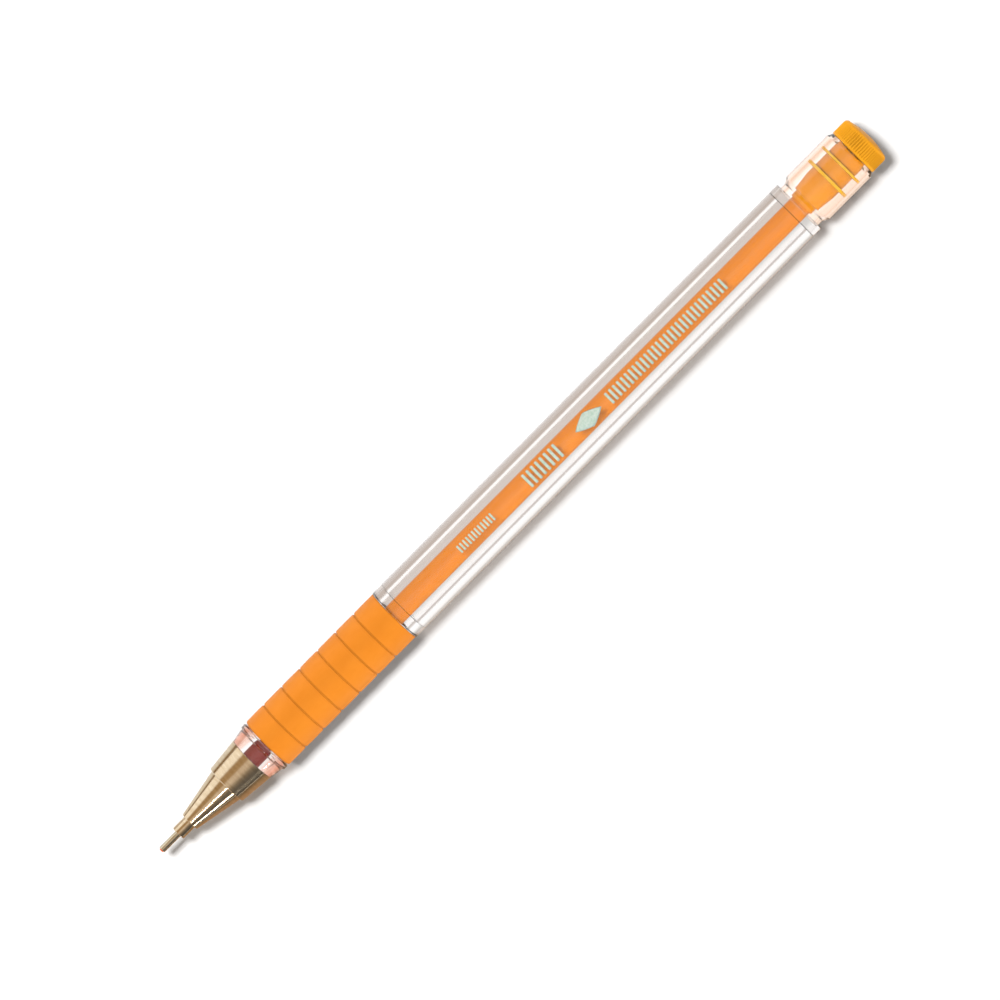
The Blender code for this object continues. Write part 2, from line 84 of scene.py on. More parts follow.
pipeFront, pipeRear, pipeRadius = ends("lead_sleeve", 12)
bushFront, bushRear, bushShoulder = ends("tip_bush")
coneFront, coneRear, coneRadius = ends("nose_cone")
spigotFront, barrelRear, barrelRadius = ends("barrel")
gripFront, gripRear, gripRadius = ends("grip")
barrelRadius += barrelProud
connectorFront, connectorRear, connectorRadius = ends("connector", 16)
tubeFront, tubeRear, tubeRadius = ends("lead_tube")
plugFront, plugRear, plugRings = ends("tube_socket")
neckFront, sleeveRear, sleeveRadius = ends("button_sleeve")
stemFront, crownRear, crownRadius = ends("crown", 120)
eraserFront, eraserRear, eraserRadius = ends("eraser", 16)
chuckFront, chuckRear, chuckRadius = ends("chuck", 16)
ringFront, ringRear, ringRadius = ends("clutch_ring", 16)
clutchFront, clutchRear, clutchFlange = ends("clutch_sleeve", 16)
springFront, springRear, springRadius = ends("chuck_spring", 64)
retainerFront, retainerRear, retainerRadius = ends("lead_retainer", 12)
leadFront, leadRear, leadRadius = ends("lead", 12)


smoothUnder = math.radians(36)      # edges that turn less than this are shaded smooth
fillet = {"steps": 4, "room": 0.42, "straight": math.radians(86), "leadIn": 1.15}


def meshFrom(name, points, faces):
    # a mesh whose faces point outwards: a negative enclosed volume turns all of them round
    points, corners = np.asarray(points, float), np.asarray(faces[0])
    a, b, c = (points[corners[:, i]] for i in range(3))
    volume = np.einsum("ij,ij->i", a, np.cross(b, c)).sum()
    if corners.shape[1] == 4:
        d = points[corners[:, 3]]
        volume += np.einsum("ij,ij->i", a, np.cross(c, d)).sum()
    turn = -1 if volume < 0 else 1
    mesh = bpy.data.meshes.new(name)
    allFaces = [face for group in faces for face in np.asarray(group)[:, ::turn].tolist()]
    mesh.from_pydata(points.tolist(), [], allFaces)
    mesh.shade_smooth()
    mesh.set_sharp_from_angle(angle=smoothUnder)
    return mesh


def rounded(corners):
    # an outline of (x, radius, edge radius) corners, each edge an arc with a point just off both its ends
    places = [np.array(corner[:2], float) for corner in corners]
    outline = []
    for index, (place, (_, _, edge)) in enumerate(zip(places, corners)):
        before, after = places[index - 1], places[(index + 1) % len(places)]
        if edge <= 0 or np.allclose(place, before) or np.allclose(place, after):
            outline.append(place)
            continue
        back, onward = before - place, after - place
        room = fillet["room"] * min(np.linalg.norm(back), np.linalg.norm(onward))
        back, onward = back / np.linalg.norm(back), onward / np.linalg.norm(onward)
        half = math.acos(max(-1.0, min(1.0, float(back @ onward)))) / 2
        if half > fillet["straight"]:
            outline.append(place)
            continue
        reach = min(edge / math.tan(half), room)
        radius = reach * math.tan(half)
        middle = (back + onward) / np.linalg.norm(back + onward)
        centre = place + middle * radius / math.sin(half)
        start, finish = place + back * reach, place + onward * reach
        share = np.linspace(0, 1, fillet["steps"] + 1)[:, None]
        chord = start * (1 - share) + finish * share - centre
        arc = centre + chord / np.linalg.norm(chord, axis=1)[:, None] * radius
        off = reach * fillet["leadIn"]
        outline += [place + back * off, *arc, place + onward * off]
    return np.array(outline)


def turned(name, outline, sides=160, wave=None, angles=None):
    # an outline of (x, radius) goes round the axis: y = radius cos(angle), z = middle + radius sin(angle).
    # One that starts and ends on the axis is closed by two poles, and any other is closed into a ring
    outline = np.asarray(outline, float)
    angles = np.arange(sides) * fullTurn / sides if angles is None else np.asarray(angles)
    count, solid = len(angles), outline[0, 1] == 0
    rows = outline[1:-1] if solid else outline
    x, radius = rows[:, :1] + 0 * angles, rows[:, 1:] + 0 * angles
    radius = wave(x, angles + 0 * x, radius) if wave else radius
    points = np.stack([x, radius * np.cos(angles), axisHeight + radius * np.sin(angles)], -1).reshape(-1, 3)
    row = np.arange(len(rows) - 1 if solid else len(rows))[:, None] * count
    nextRow = (row + count) % len(points)
    column = np.arange(count)
    nextColumn = (column + 1) % count
    quads = np.stack([row + column, row + nextColumn, nextRow + nextColumn, nextRow + column], -1)
    groups = [quads.reshape(-1, 4)]
    if solid:
        poles = [[outline[0, 0], 0, axisHeight], [outline[-1, 0], 0, axisHeight]]
        points = np.vstack([points, poles])
        last = len(points) - 2 - count
        front = np.stack([column * 0 + len(points) - 2, nextColumn, column], -1)
        rear = np.stack([column * 0 + len(points) - 1, last + column, last + nextColumn], -1)
        groups += [front, rear]
    return meshFrom(name, points, groups)


def swept(name, path, radius, sides=16):
    # a round wire along a path: point = path + radius (side cos(angle) + up sin(angle)), where side and up
    # are square to the path, and both ends are closed by a pole
    forward = np.gradient(path, axis=0)
    forward /= np.linalg.norm(forward, axis=1)[:, None]
    side = np.cross(forward, [1.0, 0, 0])
    side /= np.linalg.norm(side, axis=1)[:, None]
    up = np.cross(side, forward)
    angle = np.arange(sides) * fullTurn / sides
    spokes = side[:, None] * np.cos(angle)[:, None] + up[:, None] * np.sin(angle)[:, None]
    rings = path[:, None] + radius * spokes
    points = np.vstack([rings.reshape(-1, 3), path[:1], path[-1:]])
    row, column = np.arange(len(path) - 1)[:, None] * sides, np.arange(sides)
    nextColumn = (column + 1) % sides
    quads = np.stack([row + column, row + nextColumn, row + sides + nextColumn, row + sides + column], -1)
    last = (len(path) - 1) * sides
    front = np.stack([column * 0 + len(points) - 2, nextColumn, column], -1)
    rear = np.stack([column * 0 + len(points) - 1, last + column, last + nextColumn], -1)
    return meshFrom(name, points, [quads.reshape(-1, 4), front, rear])


def addPiece(name, mesh, finish, body, slot, *nodes):
    mesh.materials.append(finish)
    piece = bpy.data.objects.new(name, mesh)
    bpy.context.scene.collection.objects.link(piece)
    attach(piece, body)
    if nodes:
        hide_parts(*nodes)
    return piece


def linear(hexColour):
    # an sRGB hex value as linear red, green, blue and 1
    parts = [int(hexColour[i:i + 2], 16) / 255 for i in (1, 3, 5)]
    return (*[part / 12.92 if part <= 0.04045 else ((part + 0.055) / 1.055) ** 2.4 for part in parts], 1)


def addNode(tree, kind, settings=None, links=None):
    node = tree.nodes.new(kind)
    for name, value in (settings or {}).items():
        if name in node.inputs.keys():
            node.inputs[name].default_value = value
        else:
            setattr(node, name, value)
    for name, socket in (links or {}).items():
        tree.links.new(socket, node.inputs[name])
    return node


def addRamp(tree, value, stops):
    # a colour ramp over 0 to 1 from (place, colour) stops
    ramp = addNode(tree, "ShaderNodeValToRGB", links={"Fac": value})
    elements = ramp.color_ramp.elements
    for place, _ in stops[1:-1]:
        elements.new(place)
    for element, (place, colour) in zip(elements, stops):
        element.position, element.color = place, colour
    return ramp.outputs["Color"]


def addSpread(tree, value, first, last, low=0.0, high=1.0):
    # low where the value is first and less, high where it is last and more, and a straight line between
    settings = {"From Min": first, "From Max": last, "To Min": low, "To Max": high}
    spread = addNode(tree, "ShaderNodeMapRange", settings, {"Value": value})
    return spread.outputs["Result"]


def addCoordinates(tree, kind="Object"):
    # the X, Y and Z outputs of a texture coordinate
    place = addNode(tree, "ShaderNodeTexCoord")
    return addNode(tree, "ShaderNodeSeparateXYZ", links={"Vector": place.outputs[kind]}).outputs


def addScattered(tree):
    # the light path's outputs, and 1 for a ray that has already left a matt surface
    path = addNode(tree, "ShaderNodeLightPath").outputs
    scattered = addNode(tree, "ShaderNodeMath", {"operation": "GREATER_THAN"}, {0: path["Diffuse Depth"]})
    return path, scattered.outputs["Value"]


def newFinish(name, settings):
    material = bpy.data.materials.new(name)
    material.use_nodes = True
    tree = material.node_tree
    shader = tree.nodes["Principled BSDF"]
    for key, value in settings.items():
        shader.inputs[key].default_value = value
    return material, tree, shader


def addPattern(tree, sizes, detail=2.0):
    # noise whose features measure sizes in millimetres: along the pencil, across it and up
    place = addNode(tree, "ShaderNodeTexCoord")
    spread = addNode(tree, "ShaderNodeMapping", {"Scale": [1 / (size * mm) for size in sizes]},
                     {"Vector": place.outputs["Object"]})
    noise = addNode(tree, "ShaderNodeTexNoise", {"Scale": 1.0, "Detail": detail},
                    {"Vector": spread.outputs["Vector"]})
    return noise.outputs["Fac"]


noiseLow, noiseHigh = 0.3, 0.7      # most of a noise pattern's values lie between these


def addTones(tree, shader, pattern, darker, lighter):
    tones = addRamp(tree, pattern, ((noiseLow, linear(darker)), (noiseHigh, linear(lighter))))
    tree.links.new(tones, shader.inputs["Base Color"])


def addPolish(tree, shader, pattern, smooth, rough):
    roughness = addSpread(tree, pattern, noiseLow, noiseHigh, smooth, rough)
    tree.links.new(roughness, shader.inputs["Roughness"])


def addGrain(tree, shader, pattern, depth):
    # depth in millimetres
    bump = addNode(tree, "ShaderNodeBump", {"Strength": 1.0, "Distance": depth * mm}, {"Height": pattern})
    tree.links.new(bump.outputs["Normal"], shader.inputs["Normal"])


mixUnder, mixOver, mixResult = 6, 7, 2      # the colour sockets of a Mix node


def blendBaseColour(tree, shader, factor, colour):
    # lays a second base colour over the one already there, by factor
    under = shader.inputs["Base Color"].links[0].from_socket
    mix = addNode(tree, "ShaderNodeMix", {"data_type": "RGBA"}, {"Factor": factor})
    tree.links.new(under, mix.inputs[mixUnder])
    mix.inputs[mixOver].default_value = linear(colour)
    tree.links.new(mix.outputs[mixResult], shader.inputs["Base Color"])


floorBounce = "#7C7674"


def keepFloorNeutral(tree, shader):
    # light that reaches the floor off a coloured piece comes grey, so the shadow beside it stays grey
    blendBaseColour(tree, shader, addScattered(tree)[1], floorBounce)


lampShade = {"over": "#FBFAF9", "under": "#8E8681", "fade": 1.2 * mm}


def letLampsThrough(tree, shader):
    # rays on their way to a lamp pass straight through, tinted little over the axis and more under it: so the
    # tube inside is well lit, and the floor still gets the shadow that the curved walls throw
    z, reach = addCoordinates(tree)["Z"], lampShade["fade"]
    high = addSpread(tree, z, axisHeight - reach, axisHeight + reach)
    tint = addRamp(tree, high, ((0, linear(lampShade["under"])), (1, linear(lampShade["over"]))))
    straight = addNode(tree, "ShaderNodeBsdfTransparent", links={"Color": tint})
    path = addNode(tree, "ShaderNodeLightPath")
    mix = addNode(tree, "ShaderNodeMixShader", links={
        0: path.outputs["Is Shadow Ray"], 1: shader.outputs["BSDF"], 2: straight.outputs["BSDF"]})
    tree.links.new(mix.outputs["Shader"], tree.nodes["Material Output"].inputs["Surface"])


# where a clear part holds its painted reflection of the orange beside it: from and to across the wall off the
# middle, and how far it fades out along the pencil
paintedReflection = {"from": 2.6 * mm, "to": 3.4 * mm, "fade": 1.5 * mm}


def mouldedClearPolystyrene(name, tint, middleTint, paintedEdgeReflection, paintedReflectionEnd):
    # polystyrene, injection moulded and left glossy: its high index gathers light into bands along the wall,
    # and faint flow marks run lengthways. In front of the given end the base colour holds a painted
    # reflection of the orange beside it, on the sides of the wall
    material, tree, shader = newFinish(name, {
        "Transmission Weight": 1.0, "IOR": 1.57, "Roughness": 0.015, "Specular IOR Level": 0.05})
    place = addCoordinates(tree)
    off = addNode(tree, "ShaderNodeMath", {"operation": "ABSOLUTE"}, {0: place["Y"]})
    across = addSpread(tree, off.outputs["Value"], paintedReflection["from"], paintedReflection["to"])
    paintedReflectionTone = addRamp(tree, across, ((0, linear(middleTint)), (1, linear(paintedEdgeReflection))))
    tree.links.new(paintedReflectionTone, shader.inputs["Base Color"])
    along = addSpread(tree, place["X"], paintedReflectionEnd, paintedReflectionEnd + paintedReflection["fade"])
    blendBaseColour(tree, shader, along, tint)
    addGrain(tree, shader, addPattern(tree, (60.0, 2.4, 2.4), 1.0), 0.0002)
    letLampsThrough(tree, shader)
    return material


def mouldedGripRubber():
    # thermoplastic rubber, moulded against a spark-eroded tool: matt, with a fine even grain
    material, tree, shader = newFinish("mouldedGripRubber", {"IOR": 1.5, "Specular IOR Level": 0.25})
    addTones(tree, shader, addPattern(tree, (5.0, 2.5, 2.5), 4.0), "#E48624", "#E88B29")
    keepFloorNeutral(tree, shader)
    addPolish(tree, shader, addPattern(tree, (1.2, 0.6, 0.6)), 0.46, 0.60)
    addGrain(tree, shader, addPattern(tree, (0.22, 0.22, 0.22), 3.0), 0.012)    # coarser than real, to show
    return material


def turnedPlatedBrass():
    # brass, turned on a lathe and plated pale gold: mirror bright, with fine rings left by the tool
    material, tree, shader = newFinish("turnedPlatedBrass", {"Metallic": 1.0})
    addTones(tree, shader, addPattern(tree, (0.5, 3.0, 3.0), 3.0), "#CBB494", "#DBC9AC")
    addPolish(tree, shader, addPattern(tree, (0.09, 40.0, 40.0)), 0.12, 0.20)
    addGrain(tree, shader, addPattern(tree, (0.11, 60.0, 60.0), 1.0), 0.0022)   # rings 0.1 mm apart, to show
    return material


def drawnPipeSteel():
    # stainless pipe, drawn and cut: satin, with faint lines along its length
    material, tree, shader = newFinish("drawnPipeSteel", {"Metallic": 1.0})
    addTones(tree, shader, addPattern(tree, (3.0, 0.2, 0.2)), "#C2B69C", "#D6CCB6")
    addPolish(tree, shader, addPattern(tree, (2.0, 0.12, 0.12)), 0.18, 0.34)
    addGrain(tree, shader, addPattern(tree, (3.0, 0.05, 0.05)), 0.001)
    return material


outerFrom, outerFull = 3.0 * mm, 3.2 * mm


def colouredPlastic(name, darker, lighter, polish, stretch, depth=0.003, outer=None):
    # polypropylene, ABS or acetal, coloured right through: a soft gloss with slight flow marks. Outer is a
    # colour of painted light, laid on thin parts far off the axis to stand for the light that comes through
    # them
    material, tree, shader = newFinish(name, {"IOR": 1.49, "Specular IOR Level": 0.12})
    addTones(tree, shader, addPattern(tree, stretch, 3.0), darker, lighter)
    if outer:
        place = addNode(tree, "ShaderNodeTexCoord")
        across = addNode(tree, "ShaderNodeMapping", {"Location": (0, 0, -axisHeight), "Scale": (0, 1, 1)},
                         {"Vector": place.outputs["Object"]})
        radius = addNode(tree, "ShaderNodeVectorMath", {"operation": "LENGTH"}, {0: across.outputs["Vector"]})
        far = addSpread(tree, radius.outputs["Value"], outerFrom, outerFull)
        blendBaseColour(tree, shader, far, outer)
    keepFloorNeutral(tree, shader)
    addPolish(tree, shader, addPattern(tree, (1.5, 0.7, 0.7)), *polish)
    addGrain(tree, shader, addPattern(tree, (0.3, 0.3, 0.3), 3.0), depth)
    return material


def plainMetal(name, darker, lighter, polish, rings):
    # turned brass or drawn wire that nobody sees until the pencil is taken apart
    material, tree, shader = newFinish(name, {"Metallic": 1.0})
    addTones(tree, shader, addPattern(tree, (0.8, 0.8, 0.8)), darker, lighter)
    addPolish(tree, shader, addPattern(tree, (0.3, 0.3, 0.3)), *polish)
    addGrain(tree, shader, addPattern(tree, rings, 1.0), 0.0015)
    return material


def mattRubber(name, darker, lighter, grain):
    # moulded rubber or vinyl: no gloss, a little dusty
    material, tree, shader = newFinish(name, {"IOR": 1.5})
    addTones(tree, shader, addPattern(tree, (1.5, 1.5, 1.5), 4.0), darker, lighter)
    addPolish(tree, shader, addPattern(tree, (0.5, 0.5, 0.5)), 0.7, 0.9)
    addGrain(tree, shader, addPattern(tree, (grain, grain, grain), 3.0), 0.006)
    return material


def hotFoil():
    # aluminium foil, hot stamped: silver with pinholes and soft wear
    material, tree, shader = newFinish("hotFoil", {"Metallic": 0.35, "IOR": 1.5})
    addTones(tree, shader, addPattern(tree, (0.35, 0.35, 0.35), 4.0), "#BCDACE", "#DDEEE7")
    addPolish(tree, shader, addPattern(tree, (0.3, 0.3, 0.3)), 0.28, 0.45)
    addGrain(tree, shader, addPattern(tree, (0.15, 0.15, 0.15)), 0.004)
    return material


# the body colour, the middle, and the painted reflection of the orange on the sides in front of the given end
clearBarrel = mouldedClearPolystyrene("mouldedClearPolystyrene", "#FDFBFA", "#FFFFFF", "#EDA88E", gripFront)
clearSleeve = mouldedClearPolystyrene("mouldedPolystyreneWithPaintedReflection", "#FFFBF7", "#FFFCF9", "#FFEEE2", sleeveRear)
gripRubber = mouldedGripRubber()
platedBrass = turnedPlatedBrass()
pipeSteel = drawnPipeSteel()
tubePlastic = colouredPlastic("extrudedOrangePolypropylene", "#EA8408", "#EE8B0A", (0.40, 0.52),
                              (30.0, 0.5, 0.5))
# the plug's rings get the outer colour: a painted glow of light coming through them
plugPlastic = colouredPlastic("mouldedOrangePolypropylene", "#EE9210", "#F29A14", (0.30, 0.42),
                              (4.0, 2.0, 2.0), outer="#F6BE1E")
crownPlastic = colouredPlastic("mouldedOrangeAbs", "#F0A222", "#F4A826", (0.34, 0.46), (3.0, 2.0, 2.0))
# dark red, set as dark as this piece reads in the shade inside the clear nose: its own red with painted shade
# in it
connectorPlastic = colouredPlastic("mouldedDarkRedAcetalWithPaintedShade", "#781200", "#841602", (0.22, 0.34),
                                   (2.0, 1.0, 1.0))
brightBrass = plainMetal("turnedBrass", "#C39A4E", "#D9B468", (0.2, 0.36), (0.1, 30.0, 30.0))
wireSteel = plainMetal("drawnSpringSteel", "#8E8F92", "#B2B3B6", (0.2, 0.34), (0.4, 0.05, 0.05))
sealRubber = mattRubber("mouldedSealRubber", "#1B1A1A", "#2A2827", 0.2)
eraserVinyl = mattRubber("eraserVinyl", "#E9E6DF", "#F4F1EC", 0.12)
leadStick = colouredPlastic("orangeLeadStick", "#E8590F", "#F26A1B", (0.45, 0.6), (0.6, 0.2, 0.2), 0.006)
foil = hotFoil()
print("finishes made")


thread = {"pitch": 0.80 * mm, "depth": 0.25 * mm, "root": 2.69 * mm, "clearance": 0.09 * mm, "run": 0.35 * mm,
          "rowsPerTurn": 12}


def helix(x, angle):
    # 0 in the root and 1 on the crest of a right-hand thread; angle runs from +Y to +Z
    return 0.5 + 0.5 * np.cos(fullTurn * (x - cadBox[0][0]) / thread["pitch"] - angle)


def fade(x, first, last):
    # 0 at both ends of a thread and 1 between, so that it runs out smoothly
    return np.clip(np.minimum(x - first, last - x) / thread["run"], 0, 1)


def threadRows(first, last, radius):
    count = int((last - first) / thread["pitch"] * thread["rowsPerTurn"])
    return [(x, radius, 0) for x in np.linspace(first, last, count)]


barrel = {
    "spigotBore": 2.40 * mm, "spigotStep": 0.12 * mm, "noseBore": 2.65 * mm, "bore": 2.95 * mm,
    "core": 3.60 * mm,
    # the bead and the clear nose in front of it stand this far inside the barrel's radius
    "beadInset": 0.11 * mm, "noseInset": 0.32 * mm,
    "bead": 0.87 * mm, "beadSlope": 0.06 * mm, "beadRound": 0.26 * mm, "gripGap": 0.17 * mm,
    "boreStep": 1.84 * mm, "mouthDepth": 1.65 * mm, "mouth": 4.04 * mm, "flare": 0.08 * mm, "edge": 0.16 * mm}


def makeBarrel():
    seat = gripFront - barrel["gripGap"]
    bead, beadRadius = seat - barrel["bead"], barrelRadius - barrel["beadInset"]
    threadEnd = coneRear - thread["run"]
    mouthEnd, spigotStep = barrelRear - barrel["mouthDepth"], coneRear - barrel["spigotStep"]

    def cutThread(x, angle, radius):
        # radius + depth * helix on the spigot's rows
        onThread = (x < threadEnd + nearly) & (radius > thread["root"] - nearly)
        return radius + thread["depth"] * helix(x, angle) * fade(x, spigotFront, threadEnd) * onThread

    corners = threadRows(spigotFront, threadEnd, thread["root"]) + [
        (coneRear + gap, thread["root"], 0),
        (coneRear + gap, coneRadius - nearly, easedEdge),
        (bead, barrelRadius - barrel["noseInset"], broadEdge),
        (bead + barrel["beadSlope"], beadRadius, barrel["beadRound"]),
        (seat, beadRadius, barrel["beadRound"]),
        (seat, barrel["core"], crispEdge),
        (gripRear + gap, barrel["core"], crispEdge),
        (gripRear + gap, barrelRadius, bluntEdge),
        (barrelRear, barrelRadius, barrel["edge"]),
        (barrelRear, barrel["mouth"] + barrel["flare"], crispEdge),
        (barrelRear - 2 * barrel["flare"], barrel["mouth"], bluntEdge),
        (mouthEnd, barrel["mouth"], easedEdge),
        (mouthEnd, barrel["bore"], easedEdge),
        (gripRear + barrel["boreStep"], barrel["bore"], easedEdge),
        (gripRear + barrel["boreStep"], barrel["noseBore"], easedEdge),
        (spigotStep, barrel["noseBore"], crispEdge),
        (spigotStep, barrel["spigotBore"], crispEdge),
        (spigotFront, barrel["spigotBore"], 0)]
    mesh = turned("barrelShell", rounded(corners), 192, cutThread)
    addPiece("barrelShell", mesh, clearBarrel, "barrel_unit", "clear_plastic", "barrel")


grip = {"grooves": 6, "first": 3.72 * mm, "last": 4.13 * mm, "depth": 0.25 * mm, "width": 0.36 * mm,
        "bore": 3.62 * mm, "frontEdge": 0.40 * mm, "rearEdge": 0.16 * mm, "edgeRoom": 1.3,
        "swell": 0.018 * mm, "bandPoints": 7, "bandMargin": 0.1}


def makeGrip():
    # seven soft bands between six V grooves; each band swells a little in its middle
    cuts = np.linspace(gripFront + grip["first"], gripRear - grip["last"], grip["grooves"])
    corners = [(gripFront, grip["bore"], softEdge), (gripFront, gripRadius, grip["frontEdge"])]
    room = grip["edgeRoom"]
    edges = [gripFront + grip["frontEdge"] * room, *cuts, gripRear - grip["rearEdge"] * room]
    half, lowest = grip["width"] / 2, gripRadius - grip["swell"]
    share = np.linspace(grip["bandMargin"], 1 - grip["bandMargin"], grip["bandPoints"])
    for start, finish in zip(edges, edges[1:]):
        first = start + (half if start in cuts else 0)
        last = finish - (half if finish in cuts else 0)
        if start in cuts:
            corners.append((first, lowest, dullEdge))
        swell = grip["swell"] * (2 * share - 1) ** 2
        corners += [(first + (last - first) * at, gripRadius - low, 0) for at, low in zip(share, swell)]
        if finish in cuts:
            corners += [(last, lowest, dullEdge), (finish, gripRadius - grip["depth"], fineEdge)]
    corners += [(gripRear, gripRadius, grip["rearEdge"]), (gripRear, grip["bore"], crispEdge)]
    mesh = turned("gripSleeve", rounded(corners), 192)
    addPiece("gripSleeve", mesh, gripRubber, "barrel_unit", "grip_rubber", "grip")


marks = {
    # plain foil blocks: (first, last) from the tip in mm, how many, and how tall across the barrel in mm
    "groups": ((62.8, 70.2, 12, 1.35), (76.9, 84.1, 8, 2.50), (94.1, 118.6, 30, 2.05)),
    "gapShare": 0.50, "square": 12.0,
    "lozenge": (87.4, 92.8, 2.7), "pointed": 1.15,
    # the foil's thickness, how much of it lies under the surface, and how late it falls off at its rim
    "lift": 0.012 * mm, "sunk": 0.4, "falloff": 24,
    "inner": 0.2, "rim": 0.98, "rows": 6, "columns": 48}


def makeMarks():
    # each block is a superellipse laid on the barrel's top: x = half length * u * cos,
    # arc = half height * u * sin, radius = barrel radius + lift * (1 - u ^ falloff), or - lift * sunk below
    blocks = []
    for first, last, count, tall in marks["groups"]:
        pitch = (last - first) / count
        width = pitch * (1 - marks["gapShare"])
        blocks += [(first + pitch * (i + 0.5), width / 2, tall / 2, marks["square"]) for i in range(count)]
    first, last, tall = marks["lozenge"]
    blocks.append(((first + last) / 2, (last - first) / 2, tall / 2, marks["pointed"]))
    centre, halfLong, halfTall, square = (np.array(column)[:, None, None] for column in zip(*blocks))
    angle = np.arange(marks["columns"]) * fullTurn / marks["columns"]
    above = np.linspace(marks["inner"], 1, marks["rows"])
    below = np.linspace(marks["rim"], marks["inner"], marks["rows"])
    share = np.concatenate([above, below])[:, None]
    high = np.concatenate([1 - above ** marks["falloff"], np.full(marks["rows"], -marks["sunk"])])[:, None]
    along = np.sign(np.cos(angle)) * np.abs(np.cos(angle)) ** (2 / square)
    across = np.sign(np.sin(angle)) * np.abs(np.sin(angle)) ** (2 / square)
    x = cadBox[0][0] + (centre + halfLong * share * along) * mm
    turn = halfTall * share * across * mm / barrelRadius
    radius = barrelRadius + marks["lift"] * (high + 0 * turn)
    points = np.stack([x, radius * np.sin(turn), axisHeight + radius * np.cos(turn)], -1)
    blockCount, rowCount, columnCount = x.shape
    block = np.arange(blockCount)[:, None, None] * rowCount * columnCount
    row, column = np.arange(rowCount - 1)[:, None] * columnCount, np.arange(columnCount)
    nextColumn = (column + 1) % columnCount
    here, onward = block + row, block + row + columnCount
    quads = np.stack([here + column, here + nextColumn, onward + nextColumn, onward + column], -1)
    top = block[:, 0, 0][:, None] + column[::-1]
    under = block[:, 0, 0][:, None] + (rowCount - 1) * columnCount + column
    allFaces = [face for group in (quads.reshape(-1, 4), top, under) for face in group[:, ::-1].tolist()]
    mesh = bpy.data.meshes.new("foilMarks")
    mesh.from_pydata(points.reshape(-1, 3).tolist(), [], allFaces)
    mesh.shade_smooth()
    addPiece("foilMarks", mesh, foil, "barrel_unit", "pipe_metal")


makeBarrel()
makeGrip()
makeMarks()
print("barrel made")


cone = {"frontRadius": 1.515 * mm, "stepAt": 7.78 * mm, "stepFront": 2.985 * mm, "stepRear": 3.375 * mm,
        "stepBevel": 0.10 * mm, "bore": 1.125 * mm, "shoulderBore": 1.47 * mm, "shoulderLength": 1.32 * mm,
        "ringBore": 1.92 * mm, "ringRoom": 0.62 * mm, "threadFrom": 0.43 * mm}


def makeCone():
    step = coneFront + cone["stepAt"]
    threadStart = step + cone["threadFrom"]
    root = thread["root"] + thread["clearance"]
    ringStop, bushStop = ringFront - cone["ringRoom"], bushRear - cone["shoulderLength"]

    def cutThread(x, angle, radius):
        # radius + depth * helix on the bore's rows, opening to the full depth at both ends
        onThread = (x > threadStart - nearly) & (np.abs(radius - root) < nearly)
        wave = np.maximum(helix(x, angle), 1 - fade(x, threadStart, coneRear))
        return radius + thread["depth"] * wave * onThread

    corners = [
        (coneFront, cone["bore"], crispEdge),
        (coneFront, cone["frontRadius"], roundEdge),
        (step, cone["stepFront"], crispEdge),
        (step, cone["stepRear"] - cone["stepBevel"], hairEdge),
        (step + cone["stepBevel"], cone["stepRear"], keenEdge),
        (coneRear, coneRadius, crispEdge)]
    corners += [(x, radius, 0) for x, radius, _ in reversed(threadRows(threadStart, coneRear, root))]
    corners += [
        (threadStart, cone["ringBore"], crispEdge),
        (ringStop, cone["ringBore"], crispEdge),
        (ringStop, cone["shoulderBore"], crispEdge),
        (bushStop, cone["shoulderBore"], fineEdge),
        (bushStop, cone["bore"], fineEdge)]
    mesh = turned("noseCone", rounded(corners), 192, cutThread)
    addPiece("noseCone", mesh, platedBrass, "nose_unit", "plated_metal", "nose_cone")


bush = {"radius": 1.115 * mm, "edge": 0.11 * mm, "pipeBore": 0.55 * mm, "pipeRoom": 0.04 * mm,
        "pocket": 0.90 * mm, "way": 0.40 * mm, "shoulderLength": 1.30 * mm}


def makeBush():
    shoulder = bushRear - bush["shoulderLength"]
    pocketEnd, pipeEnd = retainerFront - gap, pipeRear + bush["pipeRoom"]
    corners = [
        (bushFront, bush["pipeBore"], fineEdge),
        (bushFront, bush["radius"], bush["edge"]),
        (shoulder, bush["radius"], hairEdge),
        (shoulder, bushShoulder, crispEdge),
        (bushRear, bushShoulder, crispEdge),
        (bushRear, bush["pocket"], fineEdge),
        (pocketEnd, bush["pocket"], 0),
        (pocketEnd, bush["way"], 0),
        (pipeEnd, bush["way"], 0),
        (pipeEnd, bush["pipeBore"], 0)]
    mesh = turned("tipBush", rounded(corners), 128)
    addPiece("tipBush", mesh, platedBrass, "nose_unit", "plated_metal", "tip_bush")


def makePipe():
    bore = leadRadius + gap
    corners = [
        (pipeFront, bore, hairEdge), (pipeFront, pipeRadius, dullEdge),
        (pipeRear, pipeRadius, 0), (pipeRear, bore, 0)]
    mesh = turned("leadPipe", rounded(corners), 96)
    addPiece("leadPipe", mesh, pipeSteel, "nose_unit", "pipe_metal", "lead_sleeve")


leads = {"showing": 0.20 * mm, "spares": 3}     # how far the lead looks out, and how many more there are


def makeLeads():
    # the lead in use, and copies of it that lie round it in the tube
    tip = pipeFront - leads["showing"]
    corners = [(tip, 0, 0), (tip, leadRadius, bluntEdge), (leadRear, leadRadius, keenEdge), (leadRear, 0, 0)]
    mesh = turned("leadInUse", rounded(corners), 48)
    addPiece("leadInUse", mesh, leadStick, "lead_unit", "orange_lead", "lead")
    for index in range(1, leads["spares"] + 1):
        low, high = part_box(f"spare_lead_{index}")
        mesh = turned(f"spareLead{index}", rounded(corners), 32)
        middle = (low + high) / 2
        mesh.transform(Matrix.Translation((low[0] - leadFront, middle[1], middle[2] - axisHeight)))
        addPiece(f"spareLead{index}", mesh, leadStick,
                 f"spare_unit_{index}", "orange_lead", f"spare_lead_{index}")


